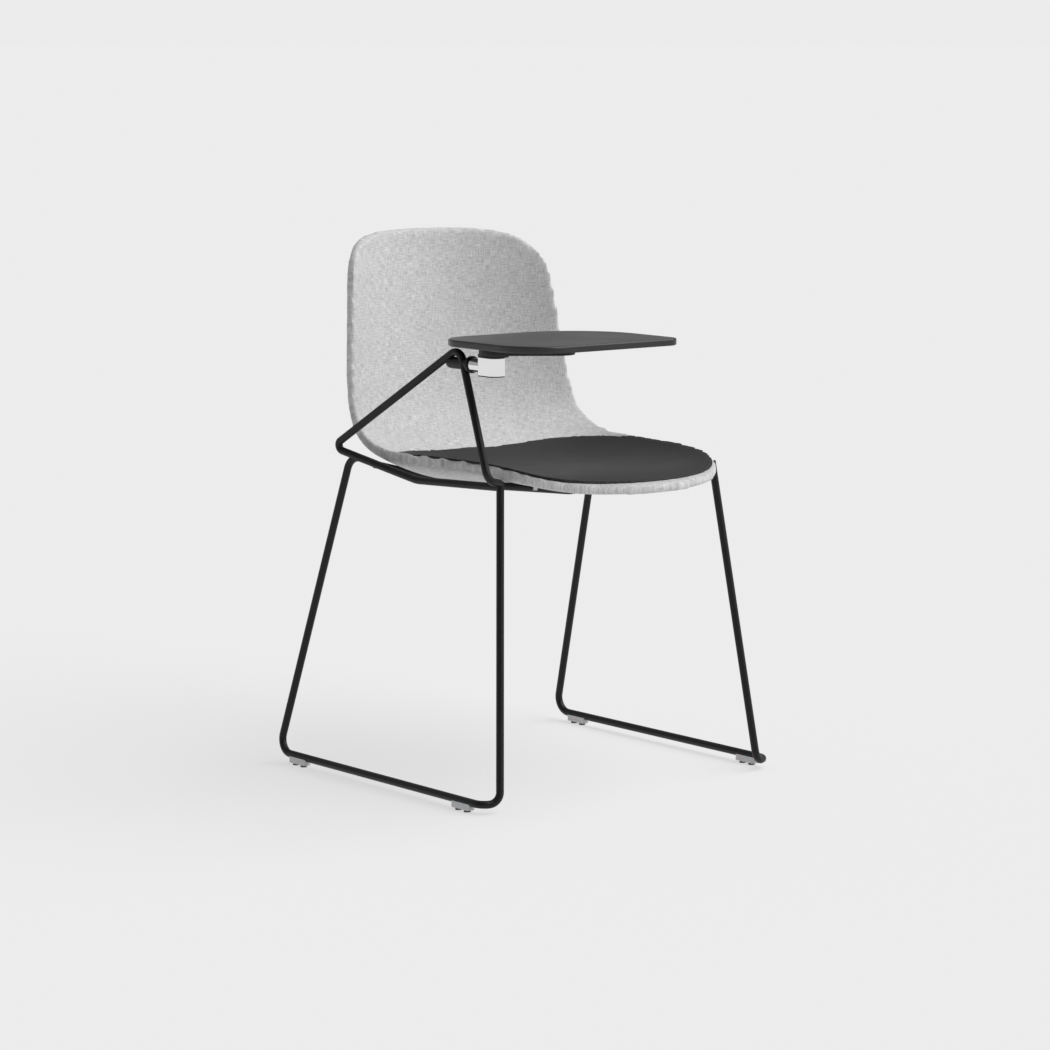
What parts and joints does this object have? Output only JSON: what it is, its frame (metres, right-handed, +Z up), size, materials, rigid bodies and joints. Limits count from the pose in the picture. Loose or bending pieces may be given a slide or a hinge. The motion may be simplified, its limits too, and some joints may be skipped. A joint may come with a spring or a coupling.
{
  "type": "student desk chair",
  "caption": "Sled-base upholstered shell chair with a folding writing tablet carried on a bent rod arm at the sitter's right.",
  "frame": {"origin": "on the floor, below the middle of the whole chair's bounding box with the tablet in its writing position", "axes": "+Z up, the sitter faces -Y and the sitter's right hand, with the tablet arm, is at -X"},
  "size_m": [0.5414, 0.5864, 0.779],
  "materials": {
    "black_powder_coat": "matt powder coat",
    "grey_upholstery": "melange linen weave",
    "shell_plastic": "moulded",
    "black_seat_pad": "smooth matt",
    "polished_chrome": "polished",
    "zinc_steel": "zinc plated",
    "insert_brass": "turned",
    "grey_glide_plastic": "milky translucent",
    "black_glide_pad": "matt",
    "grey_bumper": "satin",
    "bush_plastic": "satin",
    "black_laminate": "satin compact laminate",
    "black_plastic": "satin moulded"
  },
  "bodies": {
    "chair": {"side_frame_right": "black_powder_coat", "side_frame_left": "black_powder_coat", "front_cross_bar": "black_powder_coat", "rear_cross_bar": "black_powder_coat", "seat_bracket_front_right": "black_powder_coat", "seat_bracket_front_left": "black_powder_coat", "seat_bracket_rear_right": "black_powder_coat", "seat_bracket_rear_left": "black_powder_coat", "shell_screws": "zinc_steel", "shell_inserts": "insert_brass", "shell_core": "shell_plastic", "upholstery_front": "grey_upholstery", "upholstery_back": "grey_upholstery", "seat_pad": "black_seat_pad", "glide_clip_front_right": "grey_glide_plastic", "glide_clip_rear_right": "grey_glide_plastic", "glide_clip_front_left": "grey_glide_plastic", "glide_clip_rear_left": "grey_glide_plastic", "glide_pads": "black_glide_pad", "stacking_bumper_right": "grey_bumper", "stacking_bumper_left": "grey_bumper", "tablet_arm_rod": "black_powder_coat", "pivot_housing": "black_powder_coat", "housing_bush_rear": "bush_plastic", "housing_bush_front": "bush_plastic", "housing_end_cap": "black_plastic"},
    "tablet_joint": {"tilt_shaft": "polished_chrome", "shaft_washer": "zinc_steel", "shaft_screw": "zinc_steel", "swivel_block": "polished_chrome", "block_cap": "black_plastic", "friction_washer": "bush_plastic"},
    "tablet": {"swivel_pin": "zinc_steel", "swivel_disc": "black_plastic", "tablet_mount_plate": "black_plastic", "tablet_board": "black_laminate", "tablet_screws": "zinc_steel"}
  },
  "joints": [
    {"name": "tablet_tilt", "type": "hinge", "parent": "chair", "child": "tablet_joint", "pos_m": [-0.212, -0.12524, 0.6153], "axis": [0, -1, 0], "range_deg": [0, 90]},
    {"name": "tablet_swivel", "type": "hinge", "parent": "tablet_joint", "child": "tablet", "pos_m": [-0.212, -0.17224, 0.63], "axis": [0, 0, 1], "range_deg": [-150, 0]}
  ]
}
